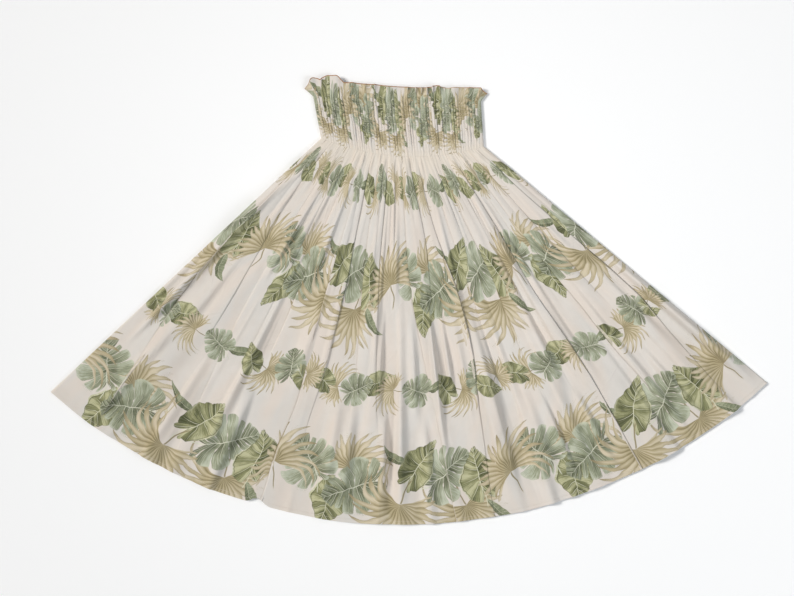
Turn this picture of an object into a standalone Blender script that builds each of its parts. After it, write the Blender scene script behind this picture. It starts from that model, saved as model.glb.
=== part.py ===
"""Gathered hula skirt, laid flat: a tube of printed cotton, shirred on elastic at the waist and fanned out to the hem.

Metres, +Z up. The skirt lies on the plane z = 0 with its waist towards +Y and its hem towards -Y.
Its front half (upper layer) lies on its back half (lower layer). Both are walls of cloth with the pleats that fan out
from the waist. Each half has the lengths that are sewn: heading frill, shirred waistband, skirt and turned-up hem.
"""

import math

import bmesh
import bpy
import numpy as np

# ---------------------------------------------------------------- cloth
CLOTH = 0.0012            # wall of the cloth
HEM_CLOTH = 0.0018        # wall of the turned-up hem, two layers pressed together
SEAM_GAP = 0.0003         # between pieces that meet
LIE_GAP = 0.0009          # between the back half's highest folds and the front half
HEM_DEPTH = 0.007         # height of the turned-up hem
SKIRT_DROP = 0.648        # from the last shirring row to the hem edge

# ---------------------------------------------------------------- outline, seen from above
# Last shirring row, where the waistband ends and the skirt starts: its two ends, and how far its middle hangs down
WAIST_LEFT = (-0.1541, 0.2839)
WAIST_RIGHT = (0.1312, 0.2699)
WAIST_SAG = 0.025
# First shirring row, under the heading frill
BAND_LEFT = (-0.1682, 0.3574)
BAND_RIGHT = (0.1259, 0.3486)
BAND_SAG = 0.003
# Hem edge: an arc of a circle
HEM_CENTRE = (-0.0088, 0.5473)
HEM_RADIUS = 0.9406
HEM_FROM = math.radians(-41.19)
HEM_TO = math.radians(42.63)

# ---------------------------------------------------------------- pleats
# Height of the pleats above their panel, from the waist (q = 0) to the hem (q = 1)
HEIGHT_AT = (0.0, 0.10, 0.28, 0.60, 1.0)
FRONT_HEIGHT = (0.0052, 0.0095, 0.0090, 0.0066, 0.0048)
BACK_HEIGHT = (0.0050, 0.0078, 0.0068, 0.0048, 0.0032)
SIDE_TURN = 0.006         # how far in from a side fold the panel reaches its own level
GATHERS_END = 0.36        # the small gathers between the pleats have died out here
GATHER_SHARE = 0.62       # their height at the waist, as a share of the pleats'
STEEPNESS = 0.62          # plan width of a pleat's steep side, as a share of its height

# A pleat's place runs from 0 at the left side to 1 at the right, at the waist and at the hem. lean is +1 where the
# steep side faces right and -1 where it faces left. fades is the q at which it has died out, 2 for one that reaches
# the hem at full strength.
PLEAT = ("at_waist", "at_hem", "lean", "strength", "fades")
FRONT_PLEATS = [
    (0.050, 0.076, -1, 1.00, 2.00),
    (0.098, 0.125, +1, 0.80, 0.95),
    (0.150, 0.183, -1, 1.00, 2.00),
    (0.212, 0.234, +1, 0.70, 0.90),
    (0.285, 0.312, -1, 1.00, 2.00),
    (0.342, 0.352, +1, 0.75, 0.98),
    (0.392, 0.404, -1, 0.70, 0.96),
    (0.438, 0.457, +1, 0.95, 2.00),
    (0.512, 0.553, -1, 0.95, 2.00),
    (0.602, 0.614, +1, 1.00, 2.00),
    (0.665, 0.680, +1, 0.60, 0.85),
    (0.720, 0.732, -1, 0.90, 2.00),
    (0.793, 0.801, +1, 1.00, 2.00),
    (0.864, 0.878, -1, 0.85, 2.00),
    (0.938, 0.960, +1, 1.00, 2.00),
]
BACK_PLEATS = [
    (0.070, 0.072, +1, 1.00, 2.00),
    (0.155, 0.165, -1, 0.80, 0.98),
    (0.230, 0.238, +1, 1.00, 2.00),
    (0.318, 0.334, -1, 0.90, 2.00),
    (0.402, 0.412, -1, 0.75, 0.92),
    (0.482, 0.494, +1, 1.00, 2.00),
    (0.565, 0.586, -1, 0.85, 2.00),
    (0.650, 0.660, +1, 0.75, 0.95),
    (0.738, 0.744, -1, 1.00, 2.00),
    (0.828, 0.842, +1, 0.90, 2.00),
    (0.918, 0.931, -1, 1.00, 2.00),
]

# ---------------------------------------------------------------- waistband
GATHERS = 25              # gathers across each half of the waistband
PUCKER = (0.78, 1.0, 0.82, 1.0, 0.86)   # their height from the last shirring row up to the first

# ---------------------------------------------------------------- heading frill
# along runs from 0 at the left side to 1 at the right; out is the frill's reach above the first shirring row,
# side how far its edge is pushed sideways, and lift how far the edge stands off.
FRILL = ("along", "out", "side", "lift")
FRONT_FRILL = [
    (0.000, 0.0120, -0.0150, 0.0000),
    (0.030, 0.0330, -0.0100, 0.0030),
    (0.060, 0.0290, -0.0050, 0.0005),
    (0.090, 0.0375, -0.0040, 0.0040),
    (0.140, 0.0385, -0.0010, 0.0035),
    (0.180, 0.0265, 0.0000, 0.0005),
    (0.240, 0.0275, 0.0000, 0.0025),
    (0.300, 0.0262, 0.0000, 0.0005),
    (0.370, 0.0262, 0.0000, 0.0025),
    (0.440, 0.0240, 0.0000, 0.0005),
    (0.520, 0.0236, 0.0000, 0.0020),
    (0.600, 0.0230, 0.0000, 0.0005),
    (0.680, 0.0230, 0.0000, 0.0025),
    (0.735, 0.0272, 0.0000, 0.0035),
    (0.790, 0.0228, 0.0000, 0.0005),
    (0.860, 0.0240, 0.0010, 0.0025),
    (0.930, 0.0236, 0.0025, 0.0005),
    (0.970, 0.0234, 0.0065, 0.0030),
    (1.000, 0.0130, 0.0105, 0.0000),
]
BACK_FRILL = [
    (0.000, 0.0110, -0.0135, 0.0000),
    (0.050, 0.0220, -0.0060, 0.0018),
    (0.110, 0.0205, -0.0020, 0.0003),
    (0.190, 0.0215, 0.0000, 0.0020),
    (0.270, 0.0180, 0.0000, 0.0003),
    (0.360, 0.0185, 0.0000, 0.0018),
    (0.450, 0.0155, 0.0000, 0.0003),
    (0.540, 0.0160, 0.0000, 0.0020),
    (0.630, 0.0150, 0.0000, 0.0003),
    (0.720, 0.0165, 0.0000, 0.0018),
    (0.810, 0.0150, 0.0000, 0.0003),
    (0.900, 0.0175, 0.0010, 0.0020),
    (0.960, 0.0170, 0.0035, 0.0003),
    (1.000, 0.0120, 0.0085, 0.0000),
]
FRILL_COLUMNS = 37
FRILL_RIPPLE = 0.0011

# ---------------------------------------------------------------- colours: the ground and its print, taken together
COLOUR = {
    "skirt": (0.56, 0.50, 0.42, 1.0),
    "hem": (0.52, 0.48, 0.39, 1.0),
    "waistband": (0.46, 0.41, 0.31, 1.0),
    "heading": (0.50, 0.45, 0.35, 1.0),
}
ROUGHNESS = 0.85


# ---------------------------------------------------------------- plan
def bow(left, right, sag, t):
    """A shallow curve from left to right whose middle hangs by sag towards -Y."""
    x = left[0] + (right[0] - left[0]) * t
    y = left[1] + (right[1] - left[1]) * t - sag * 4 * t * (1 - t)
    return np.stack([x, y], -1)


def skirt_plan(t, q):
    """Point of the skirt at share t across and share q down; the fold lines run straight from waist to hem."""
    angle = HEM_FROM + (HEM_TO - HEM_FROM) * t
    hem = np.stack([HEM_CENTRE[0] + HEM_RADIUS * np.sin(angle), HEM_CENTRE[1] - HEM_RADIUS * np.cos(angle)], -1)
    return bow(WAIST_LEFT, WAIST_RIGHT, WAIST_SAG, t) * (1 - q) + hem * q


def band_plan(t, r):
    """Point of the waistband at share t across and share r up from the last shirring row to the first."""
    return bow(WAIST_LEFT, WAIST_RIGHT, WAIST_SAG, t) * (1 - r) + bow(BAND_LEFT, BAND_RIGHT, BAND_SAG, t) * r


def row_width(plan, row):
    """Length of one row of a plan."""
    points = plan(np.linspace(0, 1, 201), row)
    return float(np.linalg.norm(np.diff(points, axis=0), axis=1).sum())


def smooth(x):
    x = np.clip(x, 0.0, 1.0)
    return x * x * (3 - 2 * x)


# ---------------------------------------------------------------- how the two halves lie on each other
def lay(front, fold, distance, width, back_height, cloth):
    """Height of a panel's outer face, from its folds and the distance of its points from the left side.

    The back half's outer face lies on z = 0 and its folds stand inwards. The front half lies over them. At the side
    folds both come to the middle, a seam gap apart.
    """
    turn = smooth((np.minimum(distance, width - distance) + 0.0004) / SIDE_TURN)
    level = back_height + cloth + LIE_GAP + cloth
    if front:
        rim = level / 2 + SEAM_GAP / 2 + cloth
        return rim + (level - rim + fold) * turn
    rim = level / 2 - SEAM_GAP / 2 - cloth
    return rim + (fold - rim) * turn


# ---------------------------------------------------------------- skirt and hem
def pleat_row(pleats, height, q, width):
    """One row across a pleated panel: distances from the left side, and heights of the folds.

    Each pleat rises softly to its edge and drops steeply beyond it. Between two pleats lie two small gathers, which
    die out below the waist.
    """
    gather = GATHER_SHARE * height * (1 - smooth(q / GATHERS_END))
    edge = [0.0] + [(waist + (hem - waist) * q) * width for waist, hem, *_ in pleats] + [width]
    tall = [0.0] + [strength * height * (1 - smooth((q - fades + 0.45) / 0.45))
                    for *_, strength, fades in pleats] + [0.0]
    lean = [0] + [pleat[2] for pleat in pleats] + [0]
    half_drop = [0.0] + [max(0.0010, STEEPNESS * h / 2) for h in tall[1:-1]] + [0.0]
    x, z = [], []
    for i in range(len(edge) - 1):
        left, right = edge[i] + half_drop[i], edge[i + 1] - half_drop[i + 1]
        shares = (0.0, 0.25, 0.5, 0.75, 1.0)
        if i == 0:
            x += [0.0, 0.0026]
            z += [0.0, 0.0]
            left, shares = SIDE_TURN, (0.0, 0.5, 1.0)
        if i == len(edge) - 2:
            right, shares = width - SIDE_TURN, (0.0, 0.5, 1.0)
        rise = min(0.060, 0.70 * (right - left))
        from_left = tall[i] if lean[i] < 0 else 0.0
        from_right = tall[i + 1] if lean[i + 1] > 0 else 0.0
        for share in shares:
            at = left + (right - left) * share
            fold = from_left * (1 - smooth((at - left) / rise)) + from_right * (1 - smooth((right - at) / rise))
            x.append(at)
            z.append(max(fold, gather * abs(math.sin(2 * math.pi * share))))
        if i == len(edge) - 2:
            x += [width - 0.0026, width]
            z += [0.0, 0.0]
    return np.array(x), np.array(z)


def skirt_panel(front, rows, cloth):
    """Rows of points across the skirt, on the outer face."""
    pleats, heights = (FRONT_PLEATS, FRONT_HEIGHT) if front else (BACK_PLEATS, BACK_HEIGHT)
    grid = []
    for q in rows:
        width = row_width(skirt_plan, q)
        x, fold = pleat_row(pleats, np.interp(q, HEIGHT_AT, heights), q, width)
        z = lay(front, fold, x, width, np.interp(q, HEIGHT_AT, BACK_HEIGHT), cloth)
        grid.append(np.column_stack([skirt_plan(x / width, q), z]))
    return np.array(grid)


# ---------------------------------------------------------------- waistband
def band_panel(front):
    """Rows of points across the gathered waistband, on the outer face; ridges and grooves stand side by side."""
    height = FRONT_HEIGHT[0] if front else BACK_HEIGHT[0]
    column = np.arange(2 * GATHERS + 1)
    grid = []
    for i, pucker in enumerate(PUCKER):
        r = i / (len(PUCKER) - 1)
        t = column / column[-1]
        t[1:-1] += 0.12 / column[-1] * np.sin(2.3 * column[1:-1] + 1.9 * i)
        fold = (column % 2) * height * pucker * (0.86 + 0.14 * np.sin(1.9 * column + 0.6))
        width = row_width(band_plan, r)
        z = lay(front, fold, t * width, width, BACK_HEIGHT[0], CLOTH)
        grid.append(np.column_stack([band_plan(t, r), z]))
    return np.array(grid)


# ---------------------------------------------------------------- heading frill
def frill_panel(front):
    """Rows of points from the first shirring row out to the frill's uneven edge."""
    table = np.array(FRONT_FRILL if front else BACK_FRILL)
    t = np.linspace(0, 1, FRILL_COLUMNS)
    out, side, lift = (np.interp(t, table[:, 0], table[:, k]) for k in (1, 2, 3))
    across = np.array(BAND_RIGHT) - np.array(BAND_LEFT)
    width = float(np.linalg.norm(across))
    across /= width
    up = np.array([-across[1], across[0]])
    ripple = FRILL_RIPPLE * (np.arange(FRILL_COLUMNS) % 2)
    grid = []
    for share in (0.0, 0.5, 1.0):
        reach = SEAM_GAP + (out - SEAM_GAP) * share
        plan = band_plan(t, 1.0) + up * reach[:, None] + across * (side * share)[:, None]
        z = lay(front, lift * share + ripple, t * width, width, BACK_HEIGHT[0], CLOTH)
        grid.append(np.column_stack([plan, z]))
    return np.array(grid)


# ---------------------------------------------------------------- solids
def clear_scene():
    for old in list(bpy.data.objects):
        bpy.data.objects.remove(old, do_unlink=True)


def cloth_material(name):
    material = bpy.data.materials.new(f"{name}_cotton")
    material.use_nodes = True
    shader = material.node_tree.nodes["Principled BSDF"]
    shader.inputs["Base Color"].default_value = COLOUR[name.split("_")[0]]
    shader.inputs["Roughness"].default_value = ROUGHNESS
    shader.inputs["Metallic"].default_value = 0.0
    return material


def cloth_wall(name, grid, thickness, front, collection):
    """A wall of cloth: a grid through the rows of points of its outer face, thickened inwards."""
    rows, columns = grid.shape[:2]
    sheet = bmesh.new()
    bmesh.ops.create_grid(sheet, x_segments=columns - 1, y_segments=rows - 1, size=0.5)
    for vertex in sheet.verts:
        i = round((vertex.co.x + 0.5) * (columns - 1))
        j = round((vertex.co.y + 0.5) * (rows - 1))
        vertex.co = grid[j, i]
    mesh = bpy.data.meshes.new(name)
    sheet.to_mesh(mesh)
    sheet.free()
    mesh.materials.append(cloth_material(name))
    mesh.shade_smooth()
    mesh.set_sharp_from_angle(angle=math.radians(70))
    wall = bpy.data.objects.new(name, mesh)
    collection.objects.link(wall)
    solid = wall.modifiers.new("cloth", "SOLIDIFY")
    solid.thickness = thickness
    solid.offset = -1.0 if front else 1.0
    solid.use_even_offset = True
    solid.use_quality_normals = True
    solid.use_rim = True
    return wall


def main():
    clear_scene()
    collection = bpy.data.collections.new("hula_skirt")
    bpy.context.scene.collection.children.link(collection)
    # Rows run from the hem up to the waist, so that the faces of each grid look up.
    hem_top = 1 - HEM_DEPTH / SKIRT_DROP
    gap = SEAM_GAP / SKIRT_DROP
    front_rows = (hem_top - gap, 0.88, 0.76, 0.63, 0.50, 0.38, 0.27, 0.17, 0.09, 0.035, gap)
    back_rows = (hem_top - gap, 0.86, 0.70, 0.52, 0.36, 0.22, 0.11, 0.04, gap)
    for half, front, rows in (("front", True, front_rows), ("back", False, back_rows)):
        cloth_wall(f"skirt_{half}", skirt_panel(front, rows, CLOTH), CLOTH, front, collection)
        cloth_wall(f"hem_{half}", skirt_panel(front, (1.0, hem_top), HEM_CLOTH), HEM_CLOTH, front, collection)
        cloth_wall(f"waistband_{half}", band_panel(front), CLOTH, front, collection)
        cloth_wall(f"heading_{half}", frill_panel(front), CLOTH, front, collection)


main()
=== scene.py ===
"""Looks of a gathered hula skirt laid flat: cloth, pleats, shirring, leaf print, threads, light and camera."""

import math

import bpy
import numpy as np
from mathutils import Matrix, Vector


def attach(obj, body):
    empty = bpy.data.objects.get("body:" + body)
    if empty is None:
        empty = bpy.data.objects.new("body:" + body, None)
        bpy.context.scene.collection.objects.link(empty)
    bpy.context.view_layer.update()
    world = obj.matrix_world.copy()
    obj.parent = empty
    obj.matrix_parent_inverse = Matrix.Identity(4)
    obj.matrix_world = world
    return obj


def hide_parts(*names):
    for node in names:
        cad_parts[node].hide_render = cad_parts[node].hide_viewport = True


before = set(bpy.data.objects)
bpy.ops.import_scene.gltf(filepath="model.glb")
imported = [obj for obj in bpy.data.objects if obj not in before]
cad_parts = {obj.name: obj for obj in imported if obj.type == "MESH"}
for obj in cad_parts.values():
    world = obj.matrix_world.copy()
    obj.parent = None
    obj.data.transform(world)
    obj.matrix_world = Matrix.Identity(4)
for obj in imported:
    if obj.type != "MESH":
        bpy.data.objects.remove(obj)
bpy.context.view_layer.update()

# ---------------------------------------------------------------- cut of the cloth, one half of the tube
CUT_WIDTH = 1.42          # half way round
FRILL_DEEP = 0.021        # frill above the first shirring row
BAND_CLOTH = 0.157        # cloth that puckers up between the first and the last shirring row
SKIRT_DROP = 0.648        # last shirring row to the hem edge
HEM_DEEP = 0.007
WAIST_V = FRILL_DEEP + BAND_CLOTH
CLOTH = 0.0007
HEM_CLOTH = 0.0012

# ---------------------------------------------------------------- outline from above, as in the solid model
WAIST_LEFT = (-0.1541, 0.2839)
WAIST_RIGHT = (0.1312, 0.2699)
WAIST_SAG = 0.025
BAND_LEFT = (-0.1682, 0.3574)
BAND_RIGHT = (0.1259, 0.3486)
BAND_SAG = 0.003
HEM_CENTRE = (-0.0088, 0.5473)
HEM_RADIUS = 0.9406
HEM_FROM = math.radians(-41.19)
HEM_TO = math.radians(42.63)
HEIGHT_AT = (0.0, 0.10, 0.28, 0.60, 1.0)
BACK_ROOF = (0.0050, 0.0078, 0.0068, 0.0048, 0.0032)
SIDE_ROUND = 0.0045

# ---------------------------------------------------------------- pleats
# Places of each pleat, from 0 at the left side to 1 at the right, at six shares of the way from the waist to the hem.
# lean is +1 where the steep side faces right and -1 where it faces left; tall and tuck are shares of the largest
# height and overlap; it grows in from "start" and fades out by "stop".
PLEAT_AT = (0.0, 0.15, 0.35, 0.60, 0.80, 1.0)
PLEAT = ("at_0", "at_15", "at_35", "at_60", "at_80", "at_hem", "lean", "tall", "tuck", "start", "stop")
FRONT_PLEATS = [
    (0.028, 0.024, 0.027, 0.049, 0.062, 0.072, -1, 0.90, 0.8, 0.00, 2.0),
    (0.066, 0.076, 0.105, 0.126, 0.131, 0.134, +1, 0.80, 0.25, 0.00, 0.78),
    (0.122, 0.131, 0.145, 0.158, 0.171, 0.182, -1, 0.90, 0.5, 0.00, 2.0),
    (0.176, 0.190, 0.200, 0.204, 0.206, 0.208, +1, 0.55, 0.3, 0.00, 0.80),
    (0.226, 0.233, 0.238, 0.241, 0.243, 0.245, -1, 0.55, 0.3, 0.00, 0.75),
    (0.272, 0.298, 0.314, 0.319, 0.314, 0.307, -1, 1.00, 1.3, 0.00, 2.0),
    (0.318, 0.331, 0.341, 0.343, 0.339, 0.336, +1, 0.60, 0.4, 0.00, 0.98),
    (0.368, 0.379, 0.392, 0.404, 0.403, 0.400, -1, 0.70, 0.6, 0.00, 0.97),
    (0.414, 0.424, 0.432, 0.441, 0.454, 0.461, +1, 0.75, 0.6, 0.05, 2.0),
    (0.458, 0.464, 0.470, 0.478, 0.486, 0.492, +1, 0.40, 0.2, 0.00, 0.50),
    (0.497, 0.509, 0.518, 0.535, 0.553, 0.560, -1, 1.00, 1.0, 0.00, 2.0),
    (0.540, 0.551, 0.563, 0.575, 0.582, 0.588, +1, 0.70, 0.6, 0.00, 0.50),
    (0.588, 0.601, 0.614, 0.619, 0.615, 0.609, +1, 1.00, 1.0, 0.00, 2.0),
    (0.640, 0.651, 0.662, 0.666, 0.668, 0.670, -1, 0.55, 0.3, 0.00, 0.72),
    (0.680, 0.687, 0.692, 0.694, 0.697, 0.700, +1, 0.50, 0.3, 0.00, 0.66),
    (0.716, 0.722, 0.731, 0.722, 0.727, 0.735, -1, 0.95, 0.9, 0.00, 2.0),
    (0.758, 0.762, 0.767, 0.772, 0.776, 0.780, +1, 0.45, 0.2, 0.00, 0.92),
    (0.796, 0.796, 0.797, 0.800, 0.802, 0.803, +1, 0.95, 1.0, 0.00, 2.0),
    (0.838, 0.838, 0.838, 0.839, 0.840, 0.841, -1, 0.40, 0.2, 0.00, 0.55),
    (0.868, 0.869, 0.871, 0.874, 0.876, 0.878, -1, 0.75, 0.7, 0.00, 0.98),
    (0.902, 0.908, 0.913, 0.917, 0.919, 0.921, +1, 0.50, 0.3, 0.00, 0.70),
    (0.945, 0.946, 0.955, 0.965, 0.957, 0.950, +1, 0.95, 0.9, 0.00, 2.0),
]
BACK_PLEATS = [
    (0.040, 0.045, 0.052, 0.060, 0.066, 0.070, +1, 0.90, 0.8, 0.00, 2.0),
    (0.095, 0.100, 0.106, 0.112, 0.118, 0.122, -1, 0.60, 0.4, 0.00, 0.80),
    (0.150, 0.155, 0.160, 0.163, 0.165, 0.166, -1, 0.90, 0.8, 0.00, 2.0),
    (0.205, 0.212, 0.220, 0.226, 0.230, 0.232, +1, 0.60, 0.4, 0.00, 0.74),
    (0.262, 0.270, 0.280, 0.288, 0.292, 0.296, +1, 1.00, 1.0, 0.00, 2.0),
    (0.322, 0.330, 0.338, 0.344, 0.348, 0.350, -1, 0.55, 0.3, 0.00, 0.66),
    (0.385, 0.392, 0.400, 0.407, 0.411, 0.414, -1, 0.95, 0.9, 0.00, 2.0),
    (0.446, 0.452, 0.460, 0.466, 0.470, 0.473, +1, 0.60, 0.4, 0.00, 0.88),
    (0.505, 0.512, 0.520, 0.527, 0.532, 0.536, +1, 1.00, 1.0, 0.00, 2.0),
    (0.566, 0.572, 0.580, 0.586, 0.590, 0.592, -1, 0.55, 0.3, 0.00, 0.70),
    (0.622, 0.630, 0.640, 0.648, 0.653, 0.656, -1, 0.90, 0.8, 0.00, 2.0),
    (0.682, 0.690, 0.698, 0.704, 0.708, 0.711, +1, 0.60, 0.4, 0.00, 0.80),
    (0.745, 0.750, 0.757, 0.763, 0.767, 0.770, +1, 1.00, 0.9, 0.00, 2.0),
    (0.806, 0.812, 0.818, 0.823, 0.826, 0.828, -1, 0.60, 0.4, 0.00, 0.76),
    (0.866, 0.872, 0.878, 0.883, 0.886, 0.888, -1, 0.90, 0.8, 0.00, 2.0),
    (0.930, 0.934, 0.938, 0.941, 0.943, 0.944, +1, 0.80, 0.6, 0.00, 0.95),
]
FOLD_AT = (0.0, 0.05, 0.16, 0.35, 0.60, 1.0)
FRONT_TALL = (0.0020, 0.0028, 0.0042, 0.0046, 0.0036, 0.0026)    # height of a pleat at its steep side
BACK_TALL = (0.0034, 0.0052, 0.0060, 0.0050, 0.0038, 0.0026)
FRONT_TUBE = (0.0014, 0.0018, 0.0026, 0.0032, 0.0028, 0.0010)    # height of the round gathers between the pleats
BACK_TUBE = (0.0036, 0.0062, 0.0060, 0.0046, 0.0020, 0.0008)
ZONE = (0.0015, 0.0021, 0.0032, 0.0046, 0.0060, 0.0070)          # half width of a pleat's steep side
TUCK = (0.0018, 0.0036, 0.0082, 0.0118, 0.0108, 0.0048)          # its overlap

# ---------------------------------------------------------------- waistband and frill
BAND_ROWS = 12            # spaces between shirring rows
BAND_RIDGES = 60
FRONT_FRILL = [
    (0.000, 0.0120, -0.0150, 0.0000),
    (0.030, 0.0330, -0.0100, 0.0030),
    (0.060, 0.0290, -0.0050, 0.0005),
    (0.090, 0.0375, -0.0040, 0.0040),
    (0.140, 0.0385, -0.0010, 0.0035),
    (0.180, 0.0265, 0.0000, 0.0005),
    (0.240, 0.0275, 0.0000, 0.0025),
    (0.300, 0.0262, 0.0000, 0.0005),
    (0.370, 0.0262, 0.0000, 0.0025),
    (0.440, 0.0240, 0.0000, 0.0005),
    (0.520, 0.0236, 0.0000, 0.0020),
    (0.600, 0.0230, 0.0000, 0.0005),
    (0.680, 0.0230, 0.0000, 0.0025),
    (0.735, 0.0272, 0.0000, 0.0035),
    (0.790, 0.0228, 0.0000, 0.0005),
    (0.860, 0.0240, 0.0010, 0.0025),
    (0.930, 0.0236, 0.0025, 0.0005),
    (0.970, 0.0234, 0.0065, 0.0030),
    (1.000, 0.0130, 0.0105, 0.0000),
]
BACK_FRILL = [
    (0.000, 0.0110, -0.0135, 0.0000),
    (0.050, 0.0220, -0.0060, 0.0018),
    (0.110, 0.0205, -0.0020, 0.0003),
    (0.190, 0.0215, 0.0000, 0.0020),
    (0.270, 0.0180, 0.0000, 0.0003),
    (0.360, 0.0185, 0.0000, 0.0018),
    (0.450, 0.0155, 0.0000, 0.0003),
    (0.540, 0.0160, 0.0000, 0.0020),
    (0.630, 0.0150, 0.0000, 0.0003),
    (0.720, 0.0165, 0.0000, 0.0018),
    (0.810, 0.0150, 0.0000, 0.0003),
    (0.900, 0.0175, 0.0010, 0.0020),
    (0.960, 0.0170, 0.0035, 0.0003),
    (1.000, 0.0120, 0.0085, 0.0000),
]

# ---------------------------------------------------------------- leaf print
# One repeat of the print: a wide garland of large leaves and, between two of those, a narrow one of small leaves.
# u runs across the cloth from the repeat's left, v down the cloth from its garland's middle line, both in metres;
# turn is in degrees, counterclockwise as printed; size is from the leaf's middle to its tip.
REPEAT_U = 0.468
REPEAT_V = 0.348
LARGE_V = 0.0540          # middle of the first wide garland, below the frill's edge
SMALL_V = 0.2360
SLIDE = -0.170            # how far each garland is slid across from the one above it
LARGE_START = 0.430       # where the repeats of the first wide garland start
SMALL_START = 0.160
LEAF = ("layer", "u", "v", "turn", "size", "flip", "tone")
LARGE_GARLAND = [
    ("monstera", 0.046, 0.010, 116, 0.064, 0, 0.45),
    ("taro_low", 0.000, 0.038, 168, 0.057, 0, 0.35),
    ("palm_low", 0.020, -0.022, -14, 0.092, 0, 0.70),
    ("palm", 0.132, 0.040, 166, 0.104, 0, 0.55),
    ("taro", 0.160, -0.026, -34, 0.058, 0, 0.30),
    ("monstera", 0.216, -0.010, -58, 0.066, 1, 0.62),
    ("palm_low", 0.262, 0.048, -158, 0.106, 0, 0.40),
    ("taro", 0.290, 0.002, 16, 0.059, 1, 0.50),
    ("palm", 0.352, 0.000, 34, 0.096, 0, 0.62),
    ("monstera", 0.416, -0.018, 42, 0.060, 1, 0.75),
    ("long", 0.106, -0.046, 64, 0.036, 0, 0.45),
    ("long", 0.322, 0.070, -130, 0.034, 1, 0.55),
]
SMALL_GARLAND = [
    ("taro", 0.016, -0.002, 64, 0.036, 0, 0.45),
    ("palm_low", 0.050, 0.006, 100, 0.052, 0, 0.60),
    ("monstera", 0.086, 0.006, -58, 0.037, 0, 0.50),
    ("taro_low", 0.128, -0.010, -70, 0.039, 1, 0.30),
    ("palm", 0.166, 0.002, 76, 0.050, 1, 0.70),
    ("monstera", 0.222, 0.004, 74, 0.038, 1, 0.65),
    ("long", 0.262, -0.004, 96, 0.036, 0, 0.40),
    ("taro", 0.298, 0.004, 40, 0.038, 1, 0.50),
    ("palm_low", 0.334, 0.008, -100, 0.054, 0, 0.50),
    ("monstera_low", 0.374, -0.008, 20, 0.037, 0, 0.45),
    ("taro", 0.414, 0.008, -112, 0.037, 1, 0.65),
    ("palm", 0.448, -0.004, -66, 0.048, 1, 0.60),
]
# bottom to top
LAYERS = {"palm_low": "palm", "taro_low": "taro", "monstera_low": "monstera", "long": "long", "monstera": "monstera",
          "taro": "taro", "palm": "palm"}


# ---------------------------------------------------------------- shared maths
def smooth(x):
    x = np.clip(x, 0.0, 1.0)
    return x * x * (3 - 2 * x)


def mix(a, b, f):
    return a + (b - a) * f


def even(values_at, values, q):
    """Values of a table row at q, through its points without corners."""
    fine = np.linspace(0, 1, 401)
    line = np.interp(fine, values_at, values)
    width = 41
    window = np.hanning(width + 2)[1:-1]
    window /= window.sum()
    padded = np.concatenate([2 * line[0] - line[width // 2:0:-1], line, 2 * line[-1] - line[-2:-width // 2 - 2:-1]])
    return np.interp(q, fine, np.convolve(padded, window, "valid")[: len(fine)])


def rand(*shape, seed):
    return np.random.default_rng(seed).random(shape)


def wave_noise(x, seed):
    """Smooth random values between -1 and 1 along x."""
    knots = rand(4096, seed=seed) * 2 - 1
    x = np.asarray(x, float) + 512.0
    i = np.floor(x).astype(int)
    return mix(knots[i % 4096], knots[(i + 1) % 4096], smooth(x - i))


def sheet_noise(x, y, seed):
    """Smooth random values between -1 and 1 over a sheet."""
    knots = rand(256, 256, seed=seed) * 2 - 1
    i, j = np.floor(x).astype(int), np.floor(y).astype(int)
    f, g = smooth(x - i), smooth(y - j)
    at = lambda a, b: knots[a % 256, b % 256]
    return mix(mix(at(i, j), at(i + 1, j), f), mix(at(i, j + 1), at(i + 1, j + 1), f), g)


def bow(left, right, sag, t):
    x = left[0] + (right[0] - left[0]) * t
    y = left[1] + (right[1] - left[1]) * t - sag * 4 * t * (1 - t)
    return np.stack([x, y], -1)


def skirt_plan(t, q):
    angle = HEM_FROM + (HEM_TO - HEM_FROM) * t
    inside = smooth(np.minimum(t, 1 - t) / 0.04)
    uneven = 0.0014 * wave_noise(t * 17.0, seed=23) * inside
    notch = 0.0105 * np.clip((t - 0.2885) / 0.0095, 0, 1) * (1 - smooth((t - 0.298) / 0.022))
    radius = HEM_RADIUS - notch + uneven
    hem = np.stack([HEM_CENTRE[0] + radius * np.sin(angle), HEM_CENTRE[1] - radius * np.cos(angle)], -1)
    q = np.asarray(q)[..., None]
    return bow(WAIST_LEFT, WAIST_RIGHT, WAIST_SAG, t) * (1 - q) + hem * q


def band_plan(t, r):
    r = np.asarray(r)[..., None]
    return bow(WAIST_LEFT, WAIST_RIGHT, WAIST_SAG, t) * (1 - r) + bow(BAND_LEFT, BAND_RIGHT, BAND_SAG, t) * r


def row_width(plan, rows):
    t = np.linspace(0, 1, 161)
    return np.array([np.linalg.norm(np.diff(plan(t, np.full_like(t, r)), axis=0), axis=1).sum() for r in rows])


def levels(front, roof):
    """Outer face of a half where it lies flat, and at the side fold, where the two halves meet."""
    level = roof + 0.0022
    middle = level / 2
    return (level, middle + 0.00002) if front else (0 * roof, middle - 0.00002)


def settle(front, fold, x, width, roof):
    """Height of the outer face: rounded at the side folds, and laid at its level between them."""
    level, rim = levels(front, roof)
    near = np.clip(np.minimum(x, width - x), 0, SIDE_ROUND) / SIDE_ROUND
    turn = np.sqrt(np.clip(1 - (1 - near) ** 2, 0, 1))
    soft = smooth(np.minimum(x, width - x) / (2.2 * SIDE_ROUND))
    return rim + (level - rim) * turn + fold * soft


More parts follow.
